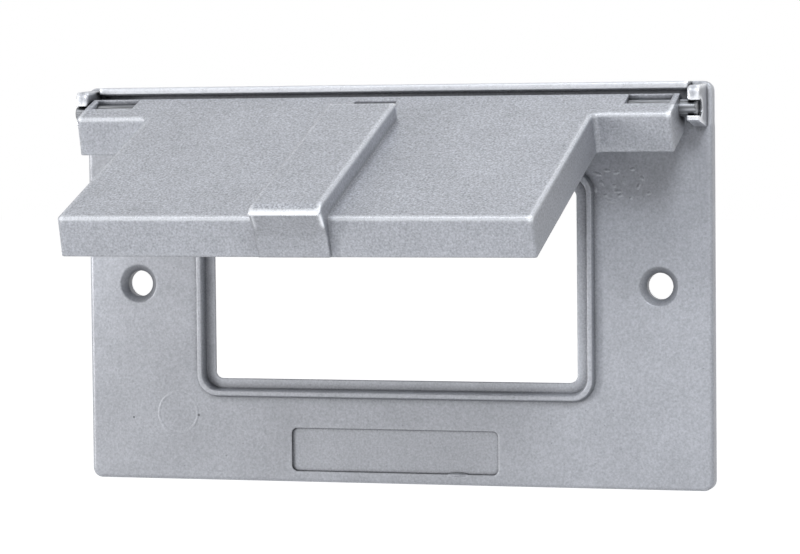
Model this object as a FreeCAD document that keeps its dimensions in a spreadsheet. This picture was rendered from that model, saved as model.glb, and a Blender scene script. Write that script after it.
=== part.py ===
import FreeCAD, Part
import math
import os
import Sketcher

# Horizontal cover for a rectangular wiring device, with a flip lid. Millimetres.
# X runs left to right, Z up, and the front of the cover faces -Y. The origin lies
# on the mounting plane, half way between the two screw holes.

V = FreeCAD.Vector

doc = FreeCAD.newDocument("device_cover")


# Driving sizes

sizes = {
    # wall plate
    "plate_margin": 9.53,
    "plate_height": 71.4,
    "plate_depth": 2.9,
    "plate_corner": 1.8,
    "plate_edge_round": 0.7,
    "plate_skin": 1.5,
    "plate_rim": 2.0,
    "recess_corner": 1.2,
    # device opening, with its recessed lip and raised bead
    "opening_width": 67.4,
    "opening_height": 34.2,
    "opening_corner": 1.4,
    "opening_draft": 18.0,
    "lip_width": 1.75,
    "lip_recess": 0.45,
    "bead_rise": 1.35,
    "bead_crest": 0.8,
    "bead_slope": 14.0,
    # mounting screws
    "screw_spacing": 96.84,
    "screw_hole": 4.7,
    "screw_sink": 1.15,
    "screw_boss": 9.6,
    # bare panel below the opening
    "panel_width": 38.5,
    "panel_height": 7.8,
    "panel_corner": 1.0,
    "panel_margin": 2.0,
    "panel_recess": 0.45,
    # drip ledge along the top edge
    "ledge_end_gap": 0.55,
    "ledge_reach": 3.0,
    "ledge_thickness": 1.45,
    "ledge_round": 0.4,
    # hinge line, below the plate's top edge
    "hinge_drop": 4.63,
    "pin_diameter": 3.0,
    "pin_length": 15.2,
    "pin_chamfer": 0.3,
    "pin_running_gap": 0.05,
    "pin_seat_gap": 0.01,
    # hooks that hold the pins
    "hook_inset": 0.85,
    "hook_width": 2.1,
    "hook_side_gap": 1.0,
    "hook_mouth": 2.7,
    "hook_nose": 1.95,
    "hook_jaw_above": 3.85,
    "hook_jaw_below": 2.1,
    "hook_root_above": 4.25,
    "hook_root_below": 3.6,
    "hook_round": 1.3,
    "hook_dome": 0.55,
    "hook_mouth_spare": 1.0,
    # flip lid, measured from the hinge line, and its gaps to the plate when it is shut
    "lid_tilt": 20.9,
    "lid_slide": 0.55,
    "lid_rim_gap": 0.5,
    "lid_front_gap": 0.53,
    "lid_side_gap": 2.07,
    "lid_back": 2.2,
    "lid_face": 2.2,
    "lid_height": 7.05,
    "lid_draft": 1.8,
    "lid_ear_reach": 8.1,
    "lid_wall": 1.4,
    "lid_skin": 1.4,
    "lid_inner_corner": 1.0,
    "lid_edge_round": 0.5,
    "lid_rim_round": 0.2,
    "lid_hinge_round": 1.3,
    "lid_relief_width": 2.0,
    "lid_relief_height": 1.45,
    # windows in the ears and the blocks that hold the pins' inner ends
    "window_length": 7.9,
    "window_wall": 1.05,
    "window_front": 3.4,
    "window_back": 1.0,
    "pin_block": 3.5,
    "pin_block_wall": 1.2,
    # finger pad, the slot behind it and the thumb wedge
    "pad_width": 12.2,
    "pad_offset": 0.35,
    "pad_start": 9.9,
    "pad_ramp": 0.2,
    "pad_height": 3.2,
    "pad_wall": 1.5,
    "pad_edge_round": 0.6,
    "nose_start": 1.9,
    "nose_reach": 3.9,
    "nose_slope": 0.95,
    "nose_face": 0.4,
    "nose_undercut": 0.8,
    "wedge_turn": 2.7,
    "wedge_turn_proud": 0.25,
    "wedge_proud": 0.8,
    "wedge_foot": 0.35,
    "slot_width": 7.7,
    "slot_start": 0.9,
    "slot_length": 1.4,
    "slot_depth": 0.8,
    "slot_round": 0.4,
    # foam gasket in the back of the plate
    "gasket_thickness": 2.0,
    "gasket_side_gap": 0.2,
    "gasket_setback": 1.0,
}

derived = {
    "plate_width": "=screw_spacing + 2 * plate_margin",
    "front_face": "=plate_depth",
    "bead_top": "=plate_depth + bead_rise",
    "bead_floor": "=bead_rise + lip_recess",
    "lip_level": "=plate_depth - lip_recess",
    "bead_inner_width": "=opening_width + 2 * lip_width + 2 * bead_floor * tan(bead_slope * 1deg)",
    "bead_inner_height": "=opening_height + 2 * lip_width + 2 * bead_floor * tan(bead_slope * 1deg)",
    "bead_inner_corner": "=opening_corner + lip_width",
    "bead_base_width": "=bead_inner_width + 2 * bead_crest + 2 * bead_rise * tan(bead_slope * 1deg)",
    "bead_base_height": "=bead_inner_height + 2 * bead_crest + 2 * bead_rise * tan(bead_slope * 1deg)",
    "bead_base_corner": "=bead_inner_corner + bead_crest",
    "recess_width": "=plate_width - 2 * plate_rim",
    "recess_height": "=plate_height - 2 * plate_rim",
    "recess_depth": "=plate_depth - plate_skin",
    "gasket_width": "=recess_width - 2 * gasket_side_gap",
    "gasket_height": "=recess_height - 2 * gasket_side_gap",
    "gasket_hole_width": "=opening_width + 2 * gasket_setback",
    "gasket_hole_height": "=opening_height + 2 * gasket_setback",
    "gasket_screw_hole": "=screw_boss + 2 * gasket_side_gap",
    "gasket_back": "=recess_depth - gasket_thickness",
    "plate_top": "=plate_height / 2",
    "panel_drop": "=plate_top - panel_margin - panel_height / 2",
    "ledge_bottom": "=plate_top - ledge_thickness",
    "ledge_root": "=recess_depth",
    "ledge_depth": "=plate_skin + ledge_reach",
    "hinge_out": "=plate_depth + lid_rim_gap + lid_height - lid_face",
    "hinge_level": "=plate_top - hinge_drop",
    "hook_outer": "=plate_width / 2 - hook_inset",
    "hook_inner": "=hook_outer - hook_width",
    "ledge_half": "=hook_inner - ledge_end_gap",
    "hook_front": "=hinge_out + hook_nose",
    "hook_top": "=hinge_level + hook_jaw_above",
    "hook_bottom": "=hinge_level - hook_jaw_below",
    "hook_root_top": "=hinge_level + hook_root_above",
    "hook_root_bottom": "=hinge_level - hook_root_below",
    "hook_bore": "=pin_diameter + 2 * pin_running_gap",
    "mouth_top": "=hinge_level + hook_mouth / 2",
    "mouth_bottom": "=hinge_level - hook_mouth / 2",
    "mouth_end": "=hook_front + hook_mouth_spare",
    "lid_rim": "=lid_face - lid_height",
    "lid_inner_half": "=bead_base_width / 2 + lid_side_gap",
    "lid_body_half": "=lid_inner_half + lid_wall",
    "lid_ear_half": "=hook_inner - hook_side_gap",
    "lid_ear_inner": "=lid_ear_half - lid_wall",
    "lid_inner_back": "=lid_back - lid_wall",
    "lid_ear_inner_reach": "=lid_ear_reach - lid_wall",
    "lid_inner_reach": "=hinge_level + bead_base_height / 2 + lid_front_gap",
    "lid_reach": "=lid_inner_reach + lid_wall",
    "lid_hollow": "=lid_height - lid_skin",
    "lid_flare": "=lid_height * tan(lid_draft * 1deg)",
    "relief_back": "=lid_back + lid_flare",
    "relief_start": "=relief_back - lid_relief_width",
    "relief_top": "=lid_rim + lid_relief_height",
    "relief_end": "=relief_back + lid_wall",
    "relief_floor": "=lid_rim - lid_wall",
    "window_outer": "=lid_ear_half - window_wall",
    "window_inner": "=window_outer - window_length",
    "window_depth": "=lid_face + pin_diameter / 2 + pin_block_wall",
    "block_start": "=window_inner - pin_block",
    "block_reach": "=pin_diameter / 2 + pin_block_wall",
    "block_embed": "=lid_inner_back + lid_wall / 2",
    "seat_bore": "=pin_diameter + 2 * pin_seat_gap",
    "pin_outer": "=hook_inner + hook_width - pin_running_gap",
    "lid_shift": "=-lid_slide",
    "pin_inner": "=pin_outer - pin_length",
    "pad_root": "=lid_face - lid_skin / 2",
    "pad_top": "=lid_face + pad_height",
    "pad_ramp_end": "=pad_start + pad_ramp",
    "nose_edge": "=lid_reach + nose_start",
    "nose_tip": "=lid_reach + nose_reach",
    "nose_tip_top": "=pad_top - nose_slope",
    "nose_tip_bottom": "=nose_tip_top - nose_face",
    "wedge_top": "=nose_tip - nose_undercut",
    "wedge_turn_level": "=lid_face - wedge_turn",
    "wedge_bottom": "=lid_reach + lid_flare + wedge_proud",
    "wedge_waist": "=wedge_bottom + wedge_turn_proud",
    "wedge_foot_level": "=lid_rim + wedge_foot",
    "pad_front_root": "=lid_reach - lid_wall / 2",
    "slot_middle": "=slot_start + slot_length / 2",
    "pad_right": "=pad_offset + pad_width / 2",
    "cavity_left": "=pad_offset - pad_width / 2 + pad_wall",
    "cavity_right": "=pad_right - pad_wall",
    "cavity_start": "=pad_ramp_end + pad_wall",
    "cavity_depth": "=lid_height + pad_height - pad_wall",
}

sheet = doc.addObject("Spreadsheet::Sheet", "Sizes")
row = 1
for alias, number in list(sizes.items()) + list(derived.items()):
    sheet.set(f"A{row}", alias)
    sheet.set(f"B{row}", str(number))
    sheet.setAlias(f"B{row}", alias)
    row += 1
doc.recompute()


def size(term):
    """The number that a signed alias, such as "-lid_back", holds in the sheet."""
    sign = -1.0 if term.startswith("-") else 1.0
    found = sheet.get(term.lstrip("-"))
    return sign * float(getattr(found, "Value", found))


def formula(term):
    """The same signed alias as an expression on the sheet."""
    sign = "-" if term.startswith("-") else ""
    return sign + "Sizes." + term.lstrip("-")


def bind(thing, **terms):
    """Ties properties of an object to cells of the sheet."""
    for name, term in terms.items():
        thing.setExpression(name, formula(term))


# Sketches and features

def new_body(label):
    body = doc.addObject("PartDesign::Body", label)
    body.Label = label
    return body


def new_sketch(body, role, name, offset=None):
    """A sketch on one of the body's origin planes, moved along its normal."""
    plane = [item for item in body.Origin.OriginFeatures if item.Role == role][0]
    sketch = body.newObject("Sketcher::SketchObject", name)
    sketch.AttachmentSupport = [(plane, "")]
    sketch.MapMode = "FlatFace"
    if offset:
        sketch.setExpression("AttachmentOffset.Base.z", formula(offset))
    return sketch


def pin_point(sketch, shape, point, across, up):
    """Dimensions one point of a sketch from the sketch's origin."""
    if across == "0":
        sketch.addConstraint(Sketcher.Constraint("PointOnObject", shape, point, -2))
    else:
        held = sketch.addConstraint(Sketcher.Constraint("DistanceX", -1, 1, shape, point, size(across)))
        sketch.setExpression(f"Constraints[{held}]", formula(across))
    if up == "0":
        sketch.addConstraint(Sketcher.Constraint("PointOnObject", shape, point, -1))
    else:
        held = sketch.addConstraint(Sketcher.Constraint("DistanceY", -1, 1, shape, point, size(up)))
        sketch.setExpression(f"Constraints[{held}]", formula(up))


def draw_outline(sketch, corners):
    """A closed outline of straight edges, with every corner dimensioned."""
    spots = [V(0 if across == "0" else size(across), 0 if up == "0" else size(up), 0)
             for across, up in corners]
    lines = [sketch.addGeometry(Part.LineSegment(spots[k], spots[(k + 1) % len(spots)]))
             for k in range(len(spots))]
    for k, line in enumerate(lines):
        following = lines[(k + 1) % len(lines)]
        sketch.addConstraint(Sketcher.Constraint("Coincident", line, 2, following, 1))
    for line, (across, up) in zip(lines, corners):
        pin_point(sketch, line, 1, across, up)


def draw_rounded(sketch, width, height, corner, drop=None):
    """A rectangle with round corners, centred, or a given distance below the centre."""
    half_x = size(width) / 2 - size(corner)
    half_z = size(height) / 2 - size(corner)
    middle = -size(drop) if drop else 0.0
    radius = size(corner)
    turns = [(1, -1, -90), (1, 1, 0), (-1, 1, 90), (-1, -1, 180)]
    arcs = []
    for side, top, start in turns:
        centre = V(side * half_x, middle + top * half_z, 0)
        circle = Part.Circle(centre, V(0, 0, 1), radius)
        first = FreeCAD.Units.Quantity(f"{start} deg").getValueAs("rad").Value
        last = FreeCAD.Units.Quantity(f"{start + 90} deg").getValueAs("rad").Value
        arcs.append(sketch.addGeometry(Part.ArcOfCircle(circle, first, last)))
    lines = []
    for k in range(4):
        begin = sketch.getPoint(arcs[k], 2)
        end = sketch.getPoint(arcs[(k + 1) % 4], 1)
        lines.append(sketch.addGeometry(Part.LineSegment(begin, end)))
    for k in range(4):
        sketch.addConstraint(Sketcher.Constraint("Tangent", arcs[k], 2, lines[k], 1))
        sketch.addConstraint(Sketcher.Constraint("Tangent", lines[k], 2, arcs[(k + 1) % 4], 1))
    level = f" - Sizes.{drop}" if drop else ""
    for arc, (side, top, start) in zip(arcs, turns):
        centre = V(side * half_x, middle + top * half_z, 0)
        held = sketch.addConstraint(Sketcher.Constraint("Radius", arc, radius))
        sketch.setExpression(f"Constraints[{held}]", formula(corner))
        held = sketch.addConstraint(Sketcher.Constraint("DistanceX", -1, 1, arc, 3, centre.x))
        sketch.setExpression(f"Constraints[{held}]", f"{side} * (Sizes.{width} / 2 - Sizes.{corner})")
        held = sketch.addConstraint(Sketcher.Constraint("DistanceY", -1, 1, arc, 3, centre.y))
        sketch.setExpression(f"Constraints[{held}]",
                             f"{top} * (Sizes.{height} / 2 - Sizes.{corner})" + level)


def draw_circle(sketch, diameter, across, up, share=""):
    """A circle whose centre is dimensioned from the sketch's origin."""
    part = 0.5 if share else 1.0
    centre = V(0 if across == "0" else size(across) * part, 0 if up == "0" else size(up), 0)
    ring = sketch.addGeometry(Part.Circle(centre, V(0, 0, 1), size(diameter) / 2))
    held = sketch.addConstraint(Sketcher.Constraint("Diameter", ring, size(diameter)))
    sketch.setExpression(f"Constraints[{held}]", formula(diameter))
    if across == "0":
        sketch.addConstraint(Sketcher.Constraint("PointOnObject", ring, 3, -2))
    else:
        held = sketch.addConstraint(Sketcher.Constraint("DistanceX", -1, 1, ring, 3, centre.x))
        sketch.setExpression(f"Constraints[{held}]", formula(across) + share)
    if up == "0":
        sketch.addConstraint(Sketcher.Constraint("PointOnObject", ring, 3, -1))
    else:
        held = sketch.addConstraint(Sketcher.Constraint("DistanceY", -1, 1, ring, 3, centre.y))
        sketch.setExpression(f"Constraints[{held}]", formula(up))


def draw_screw_circles(sketch, diameter):
    """The two circles of the screw line, half the spacing each side of the centre."""
    draw_circle(sketch, diameter, "screw_spacing", "0", " / 2")
    draw_circle(sketch, diameter, "-screw_spacing", "0", " / 2")


def grow(body, name, sketch, length, taper=None, backward=False):
    """A pad along the sketch's normal, or against it. A taper below zero narrows it on the way."""
    feature = body.newObject("PartDesign::Pad", name)
    feature.Profile = sketch
    feature.Reversed = backward
    bind(feature, Length=length)
    if taper:
        feature.setExpression("TaperAngle", formula(taper))
    sketch.Visibility = False
    doc.recompute()
    return feature


def sink(body, name, sketch, depth=None, along_normal=False, taper=None):
    """A pocket against the sketch's normal, or along it, to a depth or right through.
    A taper below zero narrows it on the way."""
    before = body.Shape.Volume
    feature = body.newObject("PartDesign::Pocket", name)
    feature.Profile = sketch
    feature.Reversed = along_normal
    if depth:
        bind(feature, Length=depth)
    else:
        feature.Type = "ThroughAll"
    if taper:
        feature.setExpression("TaperAngle", formula(taper))
    doc.recompute()
    if body.Shape.Volume >= before:
        raise RuntimeError(f"{name} cuts nothing")
    return feature


def mirror_across(body, name, features):
    """The same features on the other side of the plane between left and right."""
    feature = body.newObject("PartDesign::Mirrored", name)
    feature.Originals = features
    plane = [item for item in body.Origin.OriginFeatures if item.Role == "YZ_Plane"][0]
    feature.MirrorPlane = (plane, [""])
    body.Tip = feature
    doc.recompute()
    return feature


def edges_where(feature, test):
    """Names of the edges whose two ends and middle all pass a test."""
    names = []
    for number, edge in enumerate(feature.Shape.Edges, 1):
        middle = edge.valueAt((edge.FirstParameter + edge.LastParameter) / 2)
        spots = [vertex.Point for vertex in edge.Vertexes] + [middle]
        if all(test(spot) for spot in spots):
            names.append(f"Edge{number}")
    return names


def soften(body, name, base, test, radius, kind="PartDesign::Fillet"):
    """A fillet, or a chamfer, on the edges that pass a test."""
    names = edges_where(base, test)
    if not names:
        raise RuntimeError(f"{name} finds no edge")
    feature = body.newObject(kind, name)
    feature.Base = (base, names)
    if kind == "PartDesign::Fillet":
        bind(feature, Radius=radius)
    else:
        bind(feature, Size=radius)
    doc.recompute()
    return feature


TOUCH = 0.001


def near(first, second):
    """True where two lengths are the same to a thousandth of a millimetre."""
    return abs(first - second) < TOUCH


# Wall plate: one casting, with the bead, the drip ledge and the hinge hooks

plate = new_body("wall_plate")

outline = new_sketch(plate, "XZ_Plane", "plate_outline")
draw_rounded(outline, "plate_width", "plate_height", "plate_corner")
slab = grow(plate, "plate_slab", outline, "plate_depth")
slab = soften(plate, "plate_front_edge", slab,
              lambda spot: near(spot.y, -size("plate_depth")), "plate_edge_round")

outline = new_sketch(plate, "XZ_Plane", "bead_outline", "front_face")
draw_rounded(outline, "bead_base_width", "bead_base_height", "bead_base_corner")
grow(plate, "bead", outline, "bead_rise", "-bead_slope")

outline = new_sketch(plate, "XZ_Plane", "lip_outline", "bead_top")
draw_rounded(outline, "bead_inner_width", "bead_inner_height", "bead_inner_corner")
sink(plate, "lip_recess", outline, "bead_floor", taper="-bead_slope")

outline = new_sketch(plate, "XZ_Plane", "recess_outline")
draw_rounded(outline, "recess_width", "recess_height", "recess_corner")
draw_screw_circles(outline, "screw_boss")
sink(plate, "back_recess", outline, "recess_depth", along_normal=True)

outline = new_sketch(plate, "XZ_Plane", "opening_outline", "lip_level")
draw_rounded(outline, "opening_width", "opening_height", "opening_corner")
sink(plate, "device_opening", outline, "plate_depth", taper="opening_draft")

outline = new_sketch(plate, "XZ_Plane", "screw_outline")
draw_screw_circles(outline, "screw_hole")
holes = sink(plate, "screw_holes", outline, along_normal=True)

holes = soften(plate, "screw_sinks", holes,
               lambda spot: near(spot.y, -size("plate_depth"))
               and abs(abs(spot.x) - size("screw_spacing") / 2) < size("screw_hole")
               and abs(spot.z) < size("screw_hole"),
               "screw_sink", "PartDesign::Chamfer")

outline = new_sketch(plate, "XZ_Plane", "panel_outline", "front_face")
draw_rounded(outline, "panel_width", "panel_height", "panel_corner", "panel_drop")
sink(plate, "bare_panel", outline, "panel_recess")

outline = new_sketch(plate, "XZ_Plane", "ledge_outline", "ledge_root")
draw_outline(outline, [("-ledge_half", "ledge_bottom"), ("ledge_half", "ledge_bottom"),
                       ("ledge_half", "plate_top"), ("-ledge_half", "plate_top")])
ledge = grow(plate, "drip_ledge", outline, "ledge_depth")
ledge = soften(plate, "drip_ledge_edges", ledge,
               lambda spot: near(spot.y, -size("plate_depth") - size("ledge_reach")), "ledge_round")

outline = new_sketch(plate, "YZ_Plane", "hook_outline", "hook_inner")
draw_outline(outline, [("-ledge_root", "hook_root_bottom"), ("-hook_front", "hook_bottom"),
                       ("-hook_front", "hook_top"), ("-ledge_root", "hook_root_top")])
hook = grow(plate, "hook", outline, "hook_width")

outline = new_sketch(plate, "YZ_Plane", "hook_bore_outline", "hook_inner")
draw_circle(outline, "hook_bore", "-hinge_out", "hinge_level")
bore = sink(plate, "hook_bore", outline, "hook_width", along_normal=True)

outline = new_sketch(plate, "YZ_Plane", "hook_mouth_outline", "hook_inner")
draw_outline(outline, [("-hinge_out", "mouth_bottom"), ("-hinge_out", "mouth_top"),
                       ("-mouth_end", "mouth_top"), ("-mouth_end", "mouth_bottom")])
mouth = sink(plate, "hook_mouth", outline, "hook_width", along_normal=True)

hooks = mirror_across(plate, "hook_pair", [hook, bore, mouth])
hooks = soften(plate, "hook_rounds", hooks,
               lambda spot: near(spot.y, -size("hook_front")) and near(spot.z, size("hook_top"))
               or near(abs(spot.x), size("hook_outer")) and spot.z > size("hook_top") - TOUCH
               and spot.y < -size("plate_depth"),
               "hook_round")
soften(plate, "hook_domes", hooks,
       lambda spot: near(abs(spot.x), size("hook_inner")) and spot.z > size("mouth_top") + TOUCH
       and spot.y < -size("plate_depth") - TOUCH,
       "hook_dome")


# Flip lid: one casting, drawn flat about the hinge line with its outer face up

lid = new_body("flip_lid")



def flared(term, spot):
    """A length of the lid's outline, taken on its drafted walls at the level of a spot."""
    return size(term) + (size("lid_face") - spot.z) * math.tan(math.radians(size("lid_draft")))


outline = new_sketch(lid, "XY_Plane", "lid_outline", "lid_face")
draw_outline(outline, [("-lid_ear_half", "lid_back"), ("-lid_ear_half", "-lid_ear_reach"),
                       ("-lid_body_half", "-lid_ear_reach"), ("-lid_body_half", "-lid_reach"),
                       ("lid_body_half", "-lid_reach"), ("lid_body_half", "-lid_ear_reach"),
                       ("lid_ear_half", "-lid_ear_reach"), ("lid_ear_half", "lid_back")])
block = grow(lid, "lid_block", outline, "lid_height", "lid_draft", backward=True)
block = soften(lid, "lid_inner_corners", block,
               lambda spot: near(abs(spot.x), flared("lid_body_half", spot))
               and near(-spot.y, flared("lid_ear_reach", spot)),
               "lid_inner_corner")
block = soften(lid, "lid_hinge_edge", block,
               lambda spot: near(spot.y, size("lid_back")) and near(spot.z, size("lid_face")),
               "lid_hinge_round")
block = soften(lid, "lid_outer_edges", block,
               lambda spot: near(spot.z, size("lid_face"))
               and spot.y < size("lid_back") - size("lid_hinge_round") - TOUCH
               or near(abs(spot.x), flared("lid_body_half", spot))
               and near(-spot.y, flared("lid_reach", spot))
               or near(abs(spot.x), flared("lid_ear_half", spot))
               and near(-spot.y, flared("lid_ear_reach", spot)),
               "lid_edge_round")
block = soften(lid, "lid_rim_edges", block,
               lambda spot: near(spot.z, size("lid_rim")) and spot.y < size("lid_back") - TOUCH,
               "lid_rim_round")

outline = new_sketch(lid, "XY_Plane", "lid_hollow_outline", "lid_rim")
draw_outline(outline, [("-lid_ear_inner", "lid_inner_back"), ("-lid_ear_inner", "-lid_ear_inner_reach"),
                       ("-lid_inner_half", "-lid_ear_inner_reach"), ("-lid_inner_half", "-lid_inner_reach"),
                       ("lid_inner_half", "-lid_inner_reach"), ("lid_inner_half", "-lid_ear_inner_reach"),
                       ("lid_ear_inner", "-lid_ear_inner_reach"), ("lid_ear_inner", "lid_inner_back")])
sink(lid, "lid_hollow", outline, "lid_hollow", along_normal=True)

outline = new_sketch(lid, "YZ_Plane", "lid_relief_outline")
draw_outline(outline, [("relief_start", "relief_floor"), ("relief_start", "lid_rim"),
                       ("lid_back", "relief_top"), ("relief_end", "relief_top"),
                       ("relief_end", "relief_floor")])
relief = sink(lid, "lid_hinge_relief", outline)
relief.Midplane = True
doc.recompute()

outline = new_sketch(lid, "YZ_Plane", "pin_block_outline", "block_start")
draw_outline(outline, [("-block_reach", "-block_reach"), ("block_embed", "-block_reach"),
                       ("block_embed", "block_embed"), ("-block_reach", "block_embed")])
block = grow(lid, "pin_block", outline, "pin_block")

outline = new_sketch(lid, "XY_Plane", "window_outline", "lid_face")
draw_outline(outline, [("window_inner", "-window_front"), ("window_outer", "-window_front"),
                       ("window_outer", "window_back"), ("window_inner", "window_back")])
window = sink(lid, "ear_window", outline, "window_depth")

outline = new_sketch(lid, "YZ_Plane", "pin_seat_outline", "pin_inner")
draw_circle(outline, "seat_bore", "0", "0")
seat = sink(lid, "pin_seat", outline, "pin_length", along_normal=True)

mirror_across(lid, "ear_pair", [block, window, seat])

outline = new_sketch(lid, "YZ_Plane", "pad_outline", "pad_right")
draw_outline(outline, [("-pad_start", "pad_root"), ("-pad_ramp_end", "pad_top"),
                       ("-nose_edge", "pad_top"), ("-nose_tip", "nose_tip_top"),
                       ("-nose_tip", "nose_tip_bottom"), ("-wedge_top", "nose_tip_bottom"),
                       ("-wedge_waist", "wedge_turn_level"), ("-wedge_bottom", "wedge_foot_level"),
                       ("-pad_front_root", "wedge_foot_level"), ("-pad_front_root", "pad_root")])
pad = grow(lid, "finger_pad", outline, "pad_width", backward=True)
pad = soften(lid, "finger_pad_edges", pad,
             lambda spot: spot.z > size("lid_face") + size("pad_height") - TOUCH
             and spot.y < -size("pad_ramp_end") + TOUCH,
             "pad_edge_round")

outline = new_sketch(lid, "XY_Plane", "pad_cavity_outline", "lid_rim")
draw_outline(outline, [("cavity_left", "-cavity_start"), ("cavity_left", "-lid_inner_reach"),
                       ("cavity_right", "-lid_inner_reach"), ("cavity_right", "-cavity_start")])
sink(lid, "pad_cavity", outline, "cavity_depth", along_normal=True)

outline = new_sketch(lid, "XY_Plane", "pad_slot_outline", "lid_face")
draw_rounded(outline, "slot_width", "slot_length", "slot_round", "slot_middle")
sink(lid, "pad_slot", outline, "slot_depth")


# Hinge pins: steel, with a small chamfer at each end

pins = {}
for side, start in (("left", "-pin_outer"), ("right", "pin_inner")):
    pin = new_body(f"hinge_pin_{side}")
    outline = new_sketch(pin, "YZ_Plane", f"pin_outline_{side}", start)
    draw_circle(outline, "pin_diameter", "0", "0")
    rod = grow(pin, f"pin_rod_{side}", outline, "pin_length")
    soften(pin, f"pin_ends_{side}", rod,
           lambda spot: near(spot.y ** 2 + spot.z ** 2, (size("pin_diameter") / 2) ** 2)
           and min(abs(abs(spot.x) - size("pin_inner")), abs(abs(spot.x) - size("pin_outer"))) < TOUCH,
           "pin_chamfer", "PartDesign::Chamfer")
    pins[side] = pin


# Foam gasket in the recess at the back of the plate, open round the screw bosses

gasket = new_body("back_gasket")
outline = new_sketch(gasket, "XZ_Plane", "gasket_outline", "gasket_back")
draw_rounded(outline, "gasket_width", "gasket_height", "recess_corner")
draw_rounded(outline, "gasket_hole_width", "gasket_hole_height", "opening_corner")
draw_screw_circles(outline, "gasket_screw_hole")
grow(gasket, "gasket_sheet", outline, "gasket_thickness")


# Place what turns with the lid on the hinge line, at the angle at which it stands open.
# The lid has slid a little to the left between the hooks, and the pins with it.

for part in (lid, pins["left"], pins["right"]):
    part.setExpression("Placement.Base.x", "Sizes.lid_shift")
    part.setExpression("Placement.Base.y", "-Sizes.hinge_out")
    part.setExpression("Placement.Base.z", "Sizes.hinge_level")
lid.Placement = FreeCAD.Placement(V(0, 0, 0), FreeCAD.Rotation(V(1, 0, 0), size("lid_tilt")))
lid.setExpression("Placement.Rotation.Angle", "Sizes.lid_tilt * 1deg")
doc.recompute()


# Check every object, then write one STEP file for each piece

for item in doc.Objects:
    if "Invalid" in item.State or "Error" in item.State:
        raise RuntimeError(f"{item.Label} failed: {item.State}")

os.makedirs("parts", exist_ok=True)
for part in (plate, lid, pins["left"], pins["right"], gasket):
    shape = part.Shape
    if shape.isNull() or not shape.isValid() or len(shape.Solids) != 1:
        raise RuntimeError(f"{part.Label} is not one sound solid")
    shape.exportStep(f"parts/{part.Label}.step")
    box = shape.BoundBox
    print(f"{part.Label}: {shape.Volume:.1f} mm3, "
          f"x {box.XMin:.2f}..{box.XMax:.2f} y {box.YMin:.2f}..{box.YMax:.2f} z {box.ZMin:.2f}..{box.ZMax:.2f}")
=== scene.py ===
import bpy
import numpy as np
from mathutils import Matrix, Vector


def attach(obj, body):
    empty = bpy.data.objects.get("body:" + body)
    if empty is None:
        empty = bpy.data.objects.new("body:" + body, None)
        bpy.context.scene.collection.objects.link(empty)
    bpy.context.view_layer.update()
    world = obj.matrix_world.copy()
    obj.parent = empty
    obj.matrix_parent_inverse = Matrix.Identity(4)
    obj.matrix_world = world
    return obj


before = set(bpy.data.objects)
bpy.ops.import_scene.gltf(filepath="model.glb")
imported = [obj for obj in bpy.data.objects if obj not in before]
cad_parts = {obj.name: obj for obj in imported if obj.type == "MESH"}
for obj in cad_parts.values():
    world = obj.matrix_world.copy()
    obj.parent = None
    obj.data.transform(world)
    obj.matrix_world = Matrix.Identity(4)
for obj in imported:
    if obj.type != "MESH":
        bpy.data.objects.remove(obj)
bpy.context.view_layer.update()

IMAGE_WIDTH_PX = 800
FOCAL_LENGTH_PX = 3262.0
SENSOR_WIDTH_MM = 36.0
CLIP_START = 0.01
CAMERA_DISTANCE = 0.5816
CAMERA_YAW = np.radians(16.542)
CAMERA_PITCH = np.radians(2.935)
CAMERA_ROLL = np.radians(-0.582)
CAMERA_TARGET = Vector((0.001414, -0.0029, 0.001448))


def camera_matrix(target, distance, yaw, pitch, roll):
    """Looks along (-sin yaw, cos yaw), tipped down by pitch, and turned by roll about that line.
    The columns are the picture's right, its up, the way back from the target, and the camera's place."""
    forward = Vector((-np.sin(yaw) * np.cos(pitch), np.cos(yaw) * np.cos(pitch), -np.sin(pitch)))
    level_right = Vector((np.cos(yaw), np.sin(yaw), 0.0))
    level_up = level_right.cross(forward)
    right = np.cos(roll) * level_right + np.sin(roll) * level_up
    up = np.cos(roll) * level_up - np.sin(roll) * level_right
    matrix = Matrix((right, up, -forward)).transposed().to_4x4()
    matrix.translation = target - distance * forward
    return matrix


scene = bpy.context.scene
scene.view_settings.view_transform = "Standard"
camera = bpy.data.objects.new("camera", bpy.data.cameras.new("camera"))
camera.data.sensor_fit = "HORIZONTAL"
camera.data.sensor_width = SENSOR_WIDTH_MM
camera.data.lens = FOCAL_LENGTH_PX / IMAGE_WIDTH_PX * SENSOR_WIDTH_MM
camera.data.clip_start = CLIP_START
camera.matrix_world = camera_matrix(CAMERA_TARGET, CAMERA_DISTANCE, CAMERA_YAW, CAMERA_PITCH, CAMERA_ROLL)
scene.collection.objects.link(camera)
scene.camera = camera

# Studio. A pale floor runs well below the cover, so that its shadow falls outside the picture, and floor
# and world both look white to the eye and in reflections. Soft panels light the casting from the front.
WHITE = "#FFFFFF"
PALE_PAPER = "#D2D2D2"
PALE_SKY = "#F4F6FA"
FLOOR_LEVEL = -0.095
FLOOR_HALF = 3.0
SKY_STRENGTH = 0.05
PAPER_GLOW = 0.8               # near the cover, where the lamps on the paper make up the rest of the white
GLOW_NEAR = 0.3                # metres from the cover, between which the glow rises to full white
GLOW_FAR = 0.8
AIM = (0.0, -0.02, 0.0)        # the point that every panel faces
PANELS = {                     # place in metres, side in metres, power in watts, colour
    "left_panel": ((-0.649, -0.544, 0.074), 0.20, 3.15, "#FFFFFF"),
    "right_key_panel": ((0.224, -0.616, 0.541), 0.25, 3.35, "#F6FAFF"),
    "high_left_panel": ((-0.155, -0.524, 0.651), 0.40, 0.90, "#F6FAFF"),
    "back_panel": ((0.500, 0.300, 0.600), 0.30, 0.85, "#F0F6FF"),
    "top_panel": ((0.000, 0.400, 0.800), 0.30, 0.45, "#F0F6FF"),
}


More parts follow.
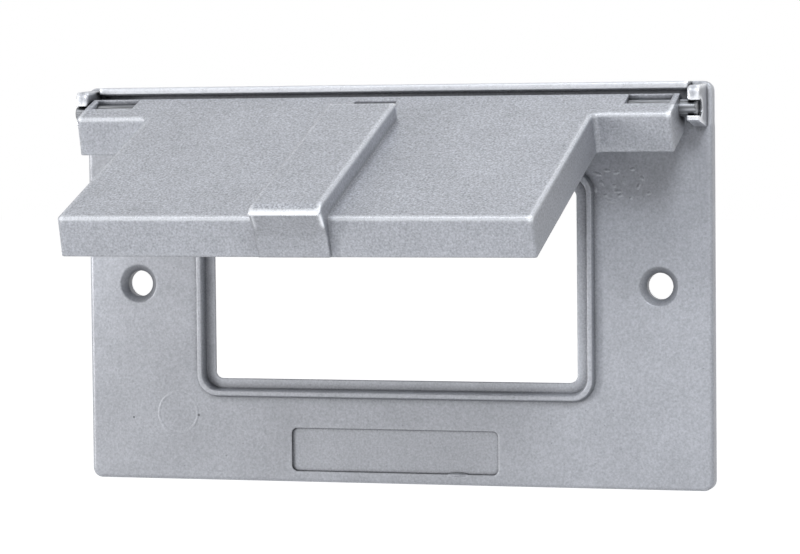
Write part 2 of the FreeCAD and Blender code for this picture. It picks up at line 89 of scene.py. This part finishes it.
def linear(hex_colour):
    """sRGB hex to linear light: the low end is divided by 12.92, the rest is a 2.4 power."""
    srgb = np.array([int(hex_colour[i:i + 2], 16) for i in (1, 3, 5)]) / 255
    light = np.where(srgb <= 0.04045, srgb / 12.92, ((srgb + 0.055) / 1.055) ** 2.4)
    return (*light.tolist(), 1.0)


def add_node(tree, kind, links=None, settings=None, values=None):
    """Adds one node: settings are its properties, values its sockets' numbers, links its inputs' sources."""
    node = tree.nodes.new(kind)
    for name, value in (settings or {}).items():
        setattr(node, name, value)
    for name, value in (values or {}).items():
        node.inputs[name].default_value = value
    for name, source in (links or {}).items():
        tree.links.new(source, node.inputs[name])
    return node


def new_tree(owner):
    """Turns on the nodes of a material or world and gives back its tree, emptied."""
    owner.use_nodes = True
    owner.node_tree.nodes.clear()
    return owner.node_tree


def seen_directly(tree):
    """1 for rays that come straight from the eye, from a reflection or through a clear piece, else 0."""
    path = add_node(tree, "ShaderNodeLightPath")
    eye_or_clear = add_node(tree, "ShaderNodeMath", settings={"operation": "MAXIMUM"},
                            links={0: path.outputs["Is Camera Ray"], 1: path.outputs["Is Transmission Ray"]})
    any_view = add_node(tree, "ShaderNodeMath", settings={"operation": "MAXIMUM"},
                        links={0: eye_or_clear.outputs[0], 1: path.outputs["Is Glossy Ray"]})
    return any_view.outputs[0]


world = bpy.data.worlds.new("white_studio")
tree = new_tree(world)
sky = add_node(tree, "ShaderNodeBackground", values={"Color": linear(PALE_SKY), "Strength": SKY_STRENGTH})
backdrop = add_node(tree, "ShaderNodeBackground", values={"Color": linear(WHITE), "Strength": 1.0})
shown = add_node(tree, "ShaderNodeMixShader",
                 links={0: seen_directly(tree), 1: sky.outputs[0], 2: backdrop.outputs[0]})
add_node(tree, "ShaderNodeOutputWorld", links={"Surface": shown.outputs[0]})
scene.world = world

floor_corners = FLOOR_HALF * np.array([[-1, -1], [1, -1], [1, 1], [-1, 1]])
floor_points = np.column_stack([floor_corners, np.full(4, FLOOR_LEVEL)])
floor_mesh = bpy.data.meshes.new("floor")
floor_mesh.from_pydata(floor_points.tolist(), [], [(0, 1, 2, 3)])
floor = bpy.data.objects.new("floor", floor_mesh)
scene.collection.objects.link(floor)

paper = bpy.data.materials.new("matt_pale_paper")
tree = new_tree(paper)
matt = add_node(tree, "ShaderNodeBsdfDiffuse", values={"Color": linear(PALE_PAPER)})
place = add_node(tree, "ShaderNodeTexCoord")
reach = add_node(tree, "ShaderNodeVectorMath", settings={"operation": "LENGTH"},
                 links={0: place.outputs["Object"]})
far = add_node(tree, "ShaderNodeMapRange", links={"Value": reach.outputs["Value"]},
               values={"From Min": GLOW_NEAR, "From Max": GLOW_FAR, "To Min": PAPER_GLOW, "To Max": 1.0})
glow = add_node(tree, "ShaderNodeEmission", links={"Strength": far.outputs[0]},
                values={"Color": linear(WHITE)})
lifted = add_node(tree, "ShaderNodeAddShader", links={0: matt.outputs[0], 1: glow.outputs[0]})
shown = add_node(tree, "ShaderNodeMixShader",
                 links={0: seen_directly(tree), 1: matt.outputs[0], 2: lifted.outputs[0]})
add_node(tree, "ShaderNodeOutputMaterial", links={"Surface": shown.outputs[0]})
floor_mesh.materials.append(paper)

for name, (place, side, power, tint) in PANELS.items():
    light = bpy.data.lights.new(name, "AREA")
    light.color = linear(tint)[:3]
    light.shape = "SQUARE"
    light.size = side
    light.energy = power
    panel = bpy.data.objects.new(name, light)
    panel.location = place
    panel.rotation_euler = (Vector(AIM) - Vector(place)).to_track_quat("-Z", "Y").to_euler()
    scene.collection.objects.link(panel)

# Castings. The wall plate and the flip lid are die castings, sprayed with a satin silver-grey enamel. The
# metal flake in it gives a broad soft gleam. Edges worn thin are barer and smoother, and are lightened
# towards near white as a painted highlight. It dries to a fine sandy grain, rougher on the lid than on the
# plate, and the corners are darkened with painted shade.
ENAMEL_DARK = "#85878D"
ENAMEL_LIGHT = "#CBCDD4"
# the near white that worn edges are mixed towards, a painted highlight over metal that is partly bare
EDGE_HIGHLIGHT_TONE = "#F1F3F7"
SPECK = "#5E6066"
# painted shade in corners, and on the pins where they sit deep
PAINTED_SHADE_TONE = "#1C1D20"
GRAIN = 0.00034                # the real grain is nearer 0.1 mm, and is drawn as coarse as it needs to show
PEEL = 0.0011                  # from crest to crest of the sprayed coat's slight orange peel
PEEL_DEPTH = 0.0001
CLOUD = 0.009                  # slow changes of tone, where the coat is thicker or thinner
CLOUD_TONES = (0.94, 1.06)
SPECK_SPACING = 0.0016         # cells of this width, of which the share below holds a speck of dirt
SPECK_SHARE = 0.15
SPECK_CORE = 0.05              # the dark middle of a speck and its rim, in widths of a cell
SPECK_RIM = 0.13
SPECK_DARKNESS = 0.45
NOISE_LOW = 0.3                # nearly all of a noise pattern lies between these two
NOISE_HIGH = 0.7
SMOOTHEST = 0.38               # roughness of the satin coat
ROUGHEST = 0.50
POLISHED_BY = 0.16             # how much of that roughness a rubbed edge loses
FLAKE_METAL = 0.25             # how metallic the whole coat is, and a rubbed edge
RUBBED_METAL = 0.8
TURNED_AWAY = 0.6              # cosines to the worn way, between which the grain's contrast changes
TURNED_ALONG = 0.9
EDGE_ROUND = 0.0004
RUBBED_HIGHLIGHT_REACH = 0.0011          # how far in from an edge the worn metal and its painted highlight reach
EDGE_SHADE = 0.60              # what a look into the metal reads at an edge, and on a flat face
FLAT_SHADE = 0.93
# how softly the limits on the worn edges and their painted highlight fade in
WEAR_AND_HIGHLIGHT_FADE = 0.0004
LEFT_TURN = -0.2               # a normal this far to the left counts as facing left, and there gets only the left share of the worn metal and its painted highlight
HINGE_LINE = (0.0, -0.00825, 0.03107)
# how far the painted shade looks for nearby metal
CORNER_REACH = 0.0028
SHADE_SAMPLES = 8
MIX_A, MIX_B, MIX_RESULT = 6, 7, 2        # a colour mix has its two colours and its result at these sockets


def silver_enamel(name, grain_contrast, grain_depth, edge_round, wear_and_highlight, corner_shade, spots=()):
    """Satin enamel with metal flake: a little metallic, medium rough, with a fine grain in tone and bump.
    The grain's contrast is given for faces turned from the given way and along it. Edges lose their coat to
    bare metal and are lightened by a painted highlight beyond the level along that way, but only to the
    least share before the level, not at all nearer the hinge line than the spared radius, and to the left
    share where they face left. The painted corner shade is darkest in corners as open as darkest_at, and
    gone where they are as open as clear_at. Each spot is the middle and radius of a dark spot of painted
    shade, in a pit or in a countersink. Lengths are in metres."""
    material = bpy.data.materials.new(name)
    tree = new_tree(material)
    place = add_node(tree, "ShaderNodeTexCoord").outputs["Object"]
    grain = add_node(tree, "ShaderNodeTexNoise", links={"Vector": place},
                     values={"Scale": 1 / GRAIN, "Detail": 1.0, "Roughness": 0.6})
    peel = add_node(tree, "ShaderNodeTexNoise", links={"Vector": place},
                    values={"Scale": 1 / PEEL, "Detail": 3.0, "Roughness": 0.5})
    cloud = add_node(tree, "ShaderNodeTexNoise", links={"Vector": place},
                     values={"Scale": 1 / CLOUD, "Detail": 3.0, "Roughness": 0.5})

    # The grain's two tones, with the slow cloud over them.
    facing = add_node(tree, "ShaderNodeVectorMath", settings={"operation": "DOT_PRODUCT"},
                      links={0: add_node(tree, "ShaderNodeTexCoord").outputs["Normal"]},
                      values={1: wear_and_highlight["way"]})
    contrast = add_node(tree, "ShaderNodeMapRange", links={"Value": facing.outputs["Value"]},
                        values={"From Min": TURNED_AWAY, "From Max": TURNED_ALONG,
                                "To Min": grain_contrast[0], "To Max": grain_contrast[1]})
    centred = add_node(tree, "ShaderNodeMath", settings={"operation": "SUBTRACT"},
                       links={0: grain.outputs["Fac"]}, values={1: 0.5})
    spread = add_node(tree, "ShaderNodeMath", settings={"operation": "MULTIPLY_ADD"},
                      links={0: centred.outputs[0], 1: contrast.outputs[0]}, values={2: 0.5})
    grain_tone = add_node(tree, "ShaderNodeMix", settings={"data_type": "RGBA"},
                          links={0: spread.outputs[0]},
                          values={MIX_A: linear(ENAMEL_DARK), MIX_B: linear(ENAMEL_LIGHT)})
    cloud_range = add_node(tree, "ShaderNodeMapRange", links={"Value": cloud.outputs["Fac"]},
                           values={"From Min": NOISE_LOW, "From Max": NOISE_HIGH,
                                   "To Min": CLOUD_TONES[0], "To Max": CLOUD_TONES[1]})
    clouded = add_node(tree, "ShaderNodeVectorMath", settings={"operation": "SCALE"},
                       links={0: grain_tone.outputs[MIX_RESULT], "Scale": cloud_range.outputs[0]})

    # Dark specks of grime in a few of the cells, and the spots of painted shade.
    speck_cell = add_node(tree, "ShaderNodeTexVoronoi", links={"Vector": place},
                          values={"Scale": 1 / SPECK_SPACING, "Randomness": 1.0})
    speck_core = add_node(tree, "ShaderNodeMapRange", links={"Value": speck_cell.outputs["Distance"]},
                          values={"From Min": SPECK_CORE, "From Max": SPECK_RIM,
                                  "To Min": SPECK_DARKNESS, "To Max": 0.0})
    chosen = add_node(tree, "ShaderNodeSeparateColor", links={0: speck_cell.outputs["Color"]})
    rare = add_node(tree, "ShaderNodeMath", settings={"operation": "LESS_THAN"},
                    links={0: chosen.outputs[0]}, values={1: SPECK_SHARE})
    dirt_and_shade = add_node(tree, "ShaderNodeMath", settings={"operation": "MULTIPLY"},
                    links={0: speck_core.outputs[0], 1: rare.outputs[0]})
    for middle, radius in spots:
        reach = add_node(tree, "ShaderNodeVectorMath", settings={"operation": "DISTANCE"},
                         links={0: place}, values={1: middle})
        spot = add_node(tree, "ShaderNodeMapRange", links={"Value": reach.outputs["Value"]},
                        values={"From Min": radius / 2, "From Max": radius, "To Min": 1.0, "To Max": 0.0})
        dirt_and_shade = add_node(tree, "ShaderNodeMath", settings={"operation": "MAXIMUM"},
                        links={0: dirt_and_shade.outputs[0], 1: spot.outputs[0]})
    specked = add_node(tree, "ShaderNodeMix", settings={"data_type": "RGBA"},
                       links={0: dirt_and_shade.outputs[0], MIX_A: clouded.outputs[0]},
                       values={MIX_B: linear(SPECK)})

    # Worn edges with a painted highlight: where the metal behind the face ends soon, times the four limits
    # set for them.
    open_sky = add_node(tree, "ShaderNodeAmbientOcclusion", settings={"samples": SHADE_SAMPLES},
                        values={"Distance": CORNER_REACH})
    worn_edge = add_node(tree, "ShaderNodeBevel", settings={"samples": SHADE_SAMPLES},
                         values={"Radius": edge_round})
    wall_behind = add_node(tree, "ShaderNodeAmbientOcclusion",
                           settings={"samples": SHADE_SAMPLES, "inside": True},
                           values={"Distance": RUBBED_HIGHLIGHT_REACH})
    along = add_node(tree, "ShaderNodeVectorMath", settings={"operation": "DOT_PRODUCT"},
                     links={0: place}, values={1: wear_and_highlight["way"]})
    rub_and_highlight_here = add_node(tree, "ShaderNodeMapRange", links={"Value": along.outputs["Value"]},
                        values={"From Min": wear_and_highlight["level"] - WEAR_AND_HIGHLIGHT_FADE, "From Max": wear_and_highlight["level"] + WEAR_AND_HIGHLIGHT_FADE,
                                "To Min": wear_and_highlight["least"], "To Max": 1.0})
    across = add_node(tree, "ShaderNodeVectorMath", settings={"operation": "MULTIPLY"},
                      links={0: place}, values={1: (0.0, 1.0, 1.0)})
    from_hinge = add_node(tree, "ShaderNodeVectorMath", settings={"operation": "DISTANCE"},
                          links={0: across.outputs[0]}, values={1: HINGE_LINE})
    clear_of_hinge = add_node(tree, "ShaderNodeMapRange", links={"Value": from_hinge.outputs["Value"]},
                              values={"From Min": wear_and_highlight["spared"] - WEAR_AND_HIGHLIGHT_FADE, "From Max": wear_and_highlight["spared"]})
    clear_rub_and_highlight = add_node(tree, "ShaderNodeMath", settings={"operation": "MULTIPLY"},
                         links={0: rub_and_highlight_here.outputs[0], 1: clear_of_hinge.outputs[0]})
    turned = add_node(tree, "ShaderNodeSeparateXYZ", links={0: worn_edge.outputs["Normal"]})
    turned_left = add_node(tree, "ShaderNodeMapRange", links={"Value": turned.outputs["X"]},
                           values={"From Min": LEFT_TURN, "From Max": 0.0,
                                   "To Min": wear_and_highlight["left_share"], "To Max": 1.0})
    rub_and_highlight = add_node(tree, "ShaderNodeMath", settings={"operation": "MULTIPLY"},
                   links={0: clear_rub_and_highlight.outputs[0], 1: turned_left.outputs[0]})
    rubbing_and_highlight = add_node(tree, "ShaderNodeMapRange",
                       links={"Value": wall_behind.outputs["AO"], "To Min": rub_and_highlight.outputs[0]},
                       values={"From Min": EDGE_SHADE, "From Max": FLAT_SHADE, "To Max": 0.0})
    # the worn edges are mixed towards near white, a painted highlight
    rubbed_and_highlighted = add_node(tree, "ShaderNodeMix", settings={"data_type": "RGBA"},
                      links={0: rubbing_and_highlight.outputs[0], MIX_A: specked.outputs[MIX_RESULT]},
                      values={MIX_B: linear(EDGE_HIGHLIGHT_TONE)})
    bare_metal = add_node(tree, "ShaderNodeMapRange", links={"Value": rubbing_and_highlight.outputs[0]},
                          values={"To Min": FLAKE_METAL, "To Max": RUBBED_METAL})

    # Painted shade in the corners, which is dark and has no gleam.
    corner = add_node(tree, "ShaderNodeMapRange", links={"Value": open_sky.outputs["AO"]},
                      values={"From Min": corner_shade["darkest_at"], "From Max": corner_shade["clear_at"],
                              "To Min": corner_shade["darkness"], "To Max": 0.0})
    tone = add_node(tree, "ShaderNodeMix", settings={"data_type": "RGBA"},
                    links={0: corner.outputs[0], MIX_A: rubbed_and_highlighted.outputs[MIX_RESULT]},
                    values={MIX_B: linear(PAINTED_SHADE_TONE)})
    gloss = add_node(tree, "ShaderNodeMapRange", links={"Value": peel.outputs["Fac"]},
                     values={"From Min": NOISE_LOW, "From Max": NOISE_HIGH,
                             "To Min": SMOOTHEST, "To Max": ROUGHEST})
    polish = add_node(tree, "ShaderNodeMath", settings={"operation": "MULTIPLY_ADD"},
                      links={0: rubbing_and_highlight.outputs[0], 2: gloss.outputs[0]}, values={1: -POLISHED_BY})
    shine = add_node(tree, "ShaderNodeMath", settings={"operation": "SUBTRACT"},
                     links={1: corner.outputs[0]}, values={0: 1.0})
    peel_bump = add_node(tree, "ShaderNodeBump",
                         links={"Height": peel.outputs["Fac"], "Normal": worn_edge.outputs["Normal"]},
                         values={"Strength": 0.3, "Distance": PEEL_DEPTH})
    grain_bump = add_node(tree, "ShaderNodeBump",
                          links={"Height": grain.outputs["Fac"], "Normal": peel_bump.outputs["Normal"]},
                          values={"Strength": 0.6, "Distance": grain_depth})
    shader = add_node(tree, "ShaderNodeBsdfPrincipled",
                      links={"Base Color": tone.outputs[MIX_RESULT], "Roughness": polish.outputs[0],
                             "Metallic": bare_metal.outputs[0], "Specular IOR Level": shine.outputs[0],
                             "Normal": grain_bump.outputs["Normal"]})
    add_node(tree, "ShaderNodeOutputMaterial", links={"Surface": shader.outputs[0]})
    return material


def finish_node(name, material):
    """Gives one CAD node a single material."""
    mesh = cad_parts[name].data
    mesh.materials.clear()
    mesh.materials.append(material)


PLATE_FACE = -0.0029
PLATE_SPOTS = (                # painted shade: two dark spots for pits in the face, then a darker tone in each countersink
    ((-0.03702, PLATE_FACE, -0.02389), 0.00032),
    ((-0.04968, PLATE_FACE, -0.02448), 0.00026),
    ((-0.04842, -0.0012, 0.0), 0.0041),
    ((0.04842, -0.0012, 0.0), 0.0041),
)
PLATE_GRAIN_CONTRAST = (0.84, 0.84)
PLATE_GRAIN_DEPTH = 0.00003
UP = (0.0, 0.0, 1.0)
HOOK_LEVEL = 0.0281            # the hooks and the drip ledge are above it
# the plate's edges are worn, with a painted highlight, fully above the hook level and to a tenth below it
PLATE_WEAR_AND_HIGHLIGHT = {"way": UP, "level": HOOK_LEVEL, "least": 0.1, "spared": 0.0, "left_share": 1.0}
# painted shade in the plate's corners
PLATE_CORNER_SHADE = {"darkest_at": 0.40, "clear_at": 0.84, "darkness": 0.97}
finish_node("wall_plate", silver_enamel("plate_silver_enamel", PLATE_GRAIN_CONTRAST, PLATE_GRAIN_DEPTH,
                                        EDGE_ROUND, PLATE_WEAR_AND_HIGHLIGHT, PLATE_CORNER_SHADE, PLATE_SPOTS))

LID_GRAIN_CONTRAST = (1.3, 2.4)
LID_GRAIN_DEPTH = 0.00007
LID_EDGE_ROUND = 0.0006
LID_OUTWARD = (0.0, -0.3567, 0.9342)      # straight out of the lid's outer face, at rest
LID_EDGE_LEVEL = 0.0332
LID_SPARED = 0.0048            # reaches past the windows and the slot
# the lid's edges are worn, with a painted highlight, fully out past the edge level and to a tenth short of
# it, not near the hinge, and not where they face left
LID_WEAR_AND_HIGHLIGHT = {"way": LID_OUTWARD, "level": LID_EDGE_LEVEL, "least": 0.1, "spared": LID_SPARED,
            "left_share": 0.0}
# painted shade in the lid's corners, weaker than on the plate
LID_CORNER_SHADE = {"darkest_at": 0.30, "clear_at": 0.75, "darkness": 0.7}
finish_node("flip_lid", silver_enamel("lid_silver_enamel", LID_GRAIN_CONTRAST, LID_GRAIN_DEPTH,
                                      LID_EDGE_ROUND, LID_WEAR_AND_HIGHLIGHT, LID_CORNER_SHADE))

# Casting marks. An ejector pin of the die left a faint ring at the plate's lower left. The metal's front
# froze in short ridges under the right ear, and a lump stayed by the panel's lower edge. They are raised
# metal of the same casting, under the same enamel, too low to be worn, and they get neither the painted
# highlight nor the painted corner shade.
NO_WEAR_OR_HIGHLIGHT = {"way": UP, "level": HOOK_LEVEL, "least": 0.0, "spared": 0.0, "left_share": 1.0}
NO_CORNER_SHADE = {"darkest_at": 0.0, "clear_at": 1.0, "darkness": 0.0}
mark_enamel = silver_enamel("mark_silver_enamel", PLATE_GRAIN_CONTRAST, PLATE_GRAIN_DEPTH, 0.0,
                            NO_WEAR_OR_HIGHLIGHT, NO_CORNER_SHADE, PLATE_SPOTS)
RING_MIDDLE = (-0.04097, -0.02359)
RING_RADIUS = 0.0037
RING_HALF_WIDTH = 0.00036
RING_PROUD = 0.000025
RING_STEPS = 96
SECTION_STEPS = 16
RIDGE_STEPS = 16
RIDGE_TURN = 1.45              # radians from the middle of a ridge to its last ring, short of the tip
RIDGE_PROUD = 0.00008
RIDGE_HALF_WIDTH = 0.00042
BURIED = 0.0002
RIDGES_MM = (                  # across, up and half length in millimetres, and lean in degrees
    (37.6, 19.7, 1.1, -20), (39.3, 20.3, 0.8, -8), (41.0, 19.9, 0.7, 15), (38.4, 18.1, 0.9, -50),
    (40.6, 17.6, 0.6, 10), (42.4, 18.6, 1.0, -75), (41.3, 16.6, 0.9, -5), (41.6, 15.9, 0.6, 8),
    (44.9, 17.5, 0.8, 62), (45.6, 18.9, 0.7, -60), (40.2, 14.9, 1.2, -12), (43.6, 15.4, 0.5, 30),
    (39.0, 15.9, 0.5, 20), (46.8, 16.3, 0.5, 50), (37.2, 16.9, 0.6, -65), (43.9, 20.5, 0.6, 5),
)
LUMP_MIDDLE = (0.01175, -0.03385)
LUMP_HALF_LENGTH = 0.0021
LUMP_HALF_WIDTH = 0.00040
LUMP_PROUD = 0.00020


def closed_skin(name, rings, joined):
    """A mesh from rings of points, each ring closed on itself. Neighbouring rings are joined by quads, and
    the last ring is either joined to the first or both ends are capped."""
    count, around, _ = rings.shape
    index = np.arange(count * around).reshape(count, around)
    before, after = (index, np.roll(index, -1, axis=0)) if joined else (index[:-1], index[1:])
    quads = np.stack([before, np.roll(before, -1, axis=1), np.roll(after, -1, axis=1), after], axis=-1)
    caps = [] if joined else [index[0][::-1].tolist(), index[-1].tolist()]
    mesh = bpy.data.meshes.new(name)
    mesh.from_pydata(rings.reshape(-1, 3).tolist(), [], quads.reshape(-1, 4).tolist() + caps)
    mesh.shade_smooth()
    mesh.materials.append(mark_enamel)
    piece = bpy.data.objects.new(name, mesh)
    scene.collection.objects.link(piece)
    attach(piece, "plate")


def lens_lift(proud, turn, share):
    """How far a lens-shaped section stands off the face at an angle round it. On the outer half it is the
    full height times 1.5 sin squared less 0.5, so that its rim is sunk in the face. On the inner half it
    is half the full height below the face, and deeper by sin squared times the buried depth. The share
    scales the sin squared."""
    swell = share * np.sin(turn) ** 2
    return np.where(np.sin(turn) > 0, proud * (1.5 * swell - 0.5), -0.5 * proud - BURIED * swell)


def low_ring(middle, radius, half_width, proud):
    """The lens section, half_width to each side, carried round a circle in the plate's face. The section is
    gone round backward, so that the skin looks outward."""
    turn, section = np.meshgrid(np.linspace(0, 2 * np.pi, RING_STEPS, endpoint=False),
                                np.linspace(0, -2 * np.pi, SECTION_STEPS, endpoint=False), indexing="ij")
    reach = radius + half_width * np.cos(section)
    return np.stack([middle[0] + reach * np.cos(turn), PLATE_FACE - lens_lift(proud, section, 1.0),
                     middle[1] + reach * np.sin(turn)], axis=-1)


def low_ridge(middle, half_length, half_width, proud, lean):
    """A lens lying in the face: rings round its long axis, which leans by the given angle from level. Each
    is as wide as the cosine of its place along the axis, and as high as the cosine's square."""
    along, turn = np.meshgrid(np.linspace(-RIDGE_TURN, RIDGE_TURN, RIDGE_STEPS),
                              np.linspace(0, 2 * np.pi, SECTION_STEPS, endpoint=False), indexing="ij")
    length = half_length * np.sin(along)
    width = half_width * np.cos(along) * np.cos(turn)
    return np.stack([middle[0] + length * np.cos(lean) - width * np.sin(lean),
                     PLATE_FACE - lens_lift(proud, turn, np.cos(along) ** 2),
                     middle[1] + length * np.sin(lean) + width * np.cos(lean)], axis=-1)


closed_skin("ejector_ring", low_ring(RING_MIDDLE, RING_RADIUS, RING_HALF_WIDTH, RING_PROUD), joined=True)
closed_skin("panel_lump", low_ridge(LUMP_MIDDLE, LUMP_HALF_LENGTH, LUMP_HALF_WIDTH, LUMP_PROUD, 0.0),
            joined=False)
for number, (across, up, half_length, lean) in enumerate(RIDGES_MM, start=1):
    closed_skin(f"flow_ridge_{number:02d}",
                low_ridge((across / 1000, up / 1000), half_length / 1000, RIDGE_HALF_WIDTH, RIDGE_PROUD,
                          np.radians(lean)), joined=False)

# Hinge pins. Cut from bright drawn steel rod and left bare, they show in the ear windows and at the hooks.
# The drawing leaves fine streaks along them, and an old greasy film has dulled the metal. Where a pin sits
# deep in an ear or a hook, painted shade darkens it.
STEEL_DARK = "#5C5E61"
STEEL_LIGHT = "#A9ABAF"
STREAK_LENGTH = 0.006
STREAK_WIDTH = 0.00035         # real ones are under 0.1 mm wide, and are drawn as wide as they need to show
STREAK_DEPTH = 0.00003

steel = bpy.data.materials.new("bright_drawn_steel")
tree = new_tree(steel)
place = add_node(tree, "ShaderNodeTexCoord").outputs["Object"]
stretched = add_node(tree, "ShaderNodeMapping", links={"Vector": place},
                     values={"Scale": (1 / STREAK_LENGTH, 1 / STREAK_WIDTH, 1 / STREAK_WIDTH)})
streak = add_node(tree, "ShaderNodeTexNoise", links={"Vector": stretched.outputs[0]},
                  values={"Scale": 1.0, "Detail": 3.0, "Roughness": 0.6})
streak_range = add_node(tree, "ShaderNodeMapRange", links={"Value": streak.outputs["Fac"]},
                        values={"From Min": NOISE_LOW, "From Max": NOISE_HIGH, "To Min": 0.0, "To Max": 1.0})
streak_tone = add_node(tree, "ShaderNodeMix", settings={"data_type": "RGBA"},
                       links={0: streak_range.outputs[0]},
                       values={MIX_A: linear(STEEL_DARK), MIX_B: linear(STEEL_LIGHT)})
open_sky = add_node(tree, "ShaderNodeAmbientOcclusion", settings={"samples": SHADE_SAMPLES},
                    values={"Distance": CORNER_REACH})
# painted shade on the pins where little open sky reaches them
pin_shade = add_node(tree, "ShaderNodeMapRange", links={"Value": open_sky.outputs["AO"]},
                  values={"From Min": 0.15, "From Max": 0.75, "To Min": 0.9, "To Max": 0.0})
steel_tone = add_node(tree, "ShaderNodeMix", settings={"data_type": "RGBA"},
                      links={0: pin_shade.outputs[0], MIX_A: streak_tone.outputs[MIX_RESULT]},
                      values={MIX_B: linear(PAINTED_SHADE_TONE)})
steel_gloss = add_node(tree, "ShaderNodeMapRange", links={"Value": streak.outputs["Fac"]},
                       values={"From Min": NOISE_LOW, "From Max": NOISE_HIGH,
                               "To Min": 0.45, "To Max": 0.28})
streak_bump = add_node(tree, "ShaderNodeBump", links={"Height": streak.outputs["Fac"]},
                       values={"Strength": 0.4, "Distance": STREAK_DEPTH})
shader = add_node(tree, "ShaderNodeBsdfPrincipled", values={"Metallic": 1.0},
                  links={"Base Color": steel_tone.outputs[MIX_RESULT], "Roughness": steel_gloss.outputs[0],
                         "Normal": streak_bump.outputs["Normal"]})
add_node(tree, "ShaderNodeOutputMaterial", links={"Surface": shader.outputs[0]})
for name in ("hinge_pin_left", "hinge_pin_right"):
    finish_node(name, steel)

# Gasket. Die-cut from black foam rubber and laid in the recess at the back of the plate. Its open cells show
# as small pits, darkened with painted shade a little below the matt skin between them.
FOAM_SKIN = "#303236"
# painted shade in the open cells
FOAM_CELL_SHADE = "#141517"
CELL = 0.00055                 # open cells of sponge rubber, about half a millimetre across
CELL_DEPTH = 0.0001

foam = bpy.data.materials.new("black_foam_rubber")
tree = new_tree(foam)
place = add_node(tree, "ShaderNodeTexCoord").outputs["Object"]
cells = add_node(tree, "ShaderNodeTexVoronoi", links={"Vector": place},
                 values={"Scale": 1 / CELL, "Randomness": 1.0})
cell_wall = add_node(tree, "ShaderNodeMapRange", links={"Value": cells.outputs["Distance"]},
                     values={"From Min": 0.25, "From Max": 0.6, "To Min": 0.0, "To Max": 1.0})
foam_tone = add_node(tree, "ShaderNodeMix", settings={"data_type": "RGBA"},
                     links={0: cell_wall.outputs[0]},
                     values={MIX_A: linear(FOAM_CELL_SHADE), MIX_B: linear(FOAM_SKIN)})
cell_bump = add_node(tree, "ShaderNodeBump", links={"Height": cell_wall.outputs[0]},
                     values={"Strength": 0.8, "Distance": CELL_DEPTH})
shader = add_node(tree, "ShaderNodeBsdfPrincipled", values={"Roughness": 0.9},
                  links={"Base Color": foam_tone.outputs[MIX_RESULT],
                         "Normal": cell_bump.outputs["Normal"]})
add_node(tree, "ShaderNodeOutputMaterial", links={"Surface": shader.outputs[0]})
finish_node("back_gasket", foam)
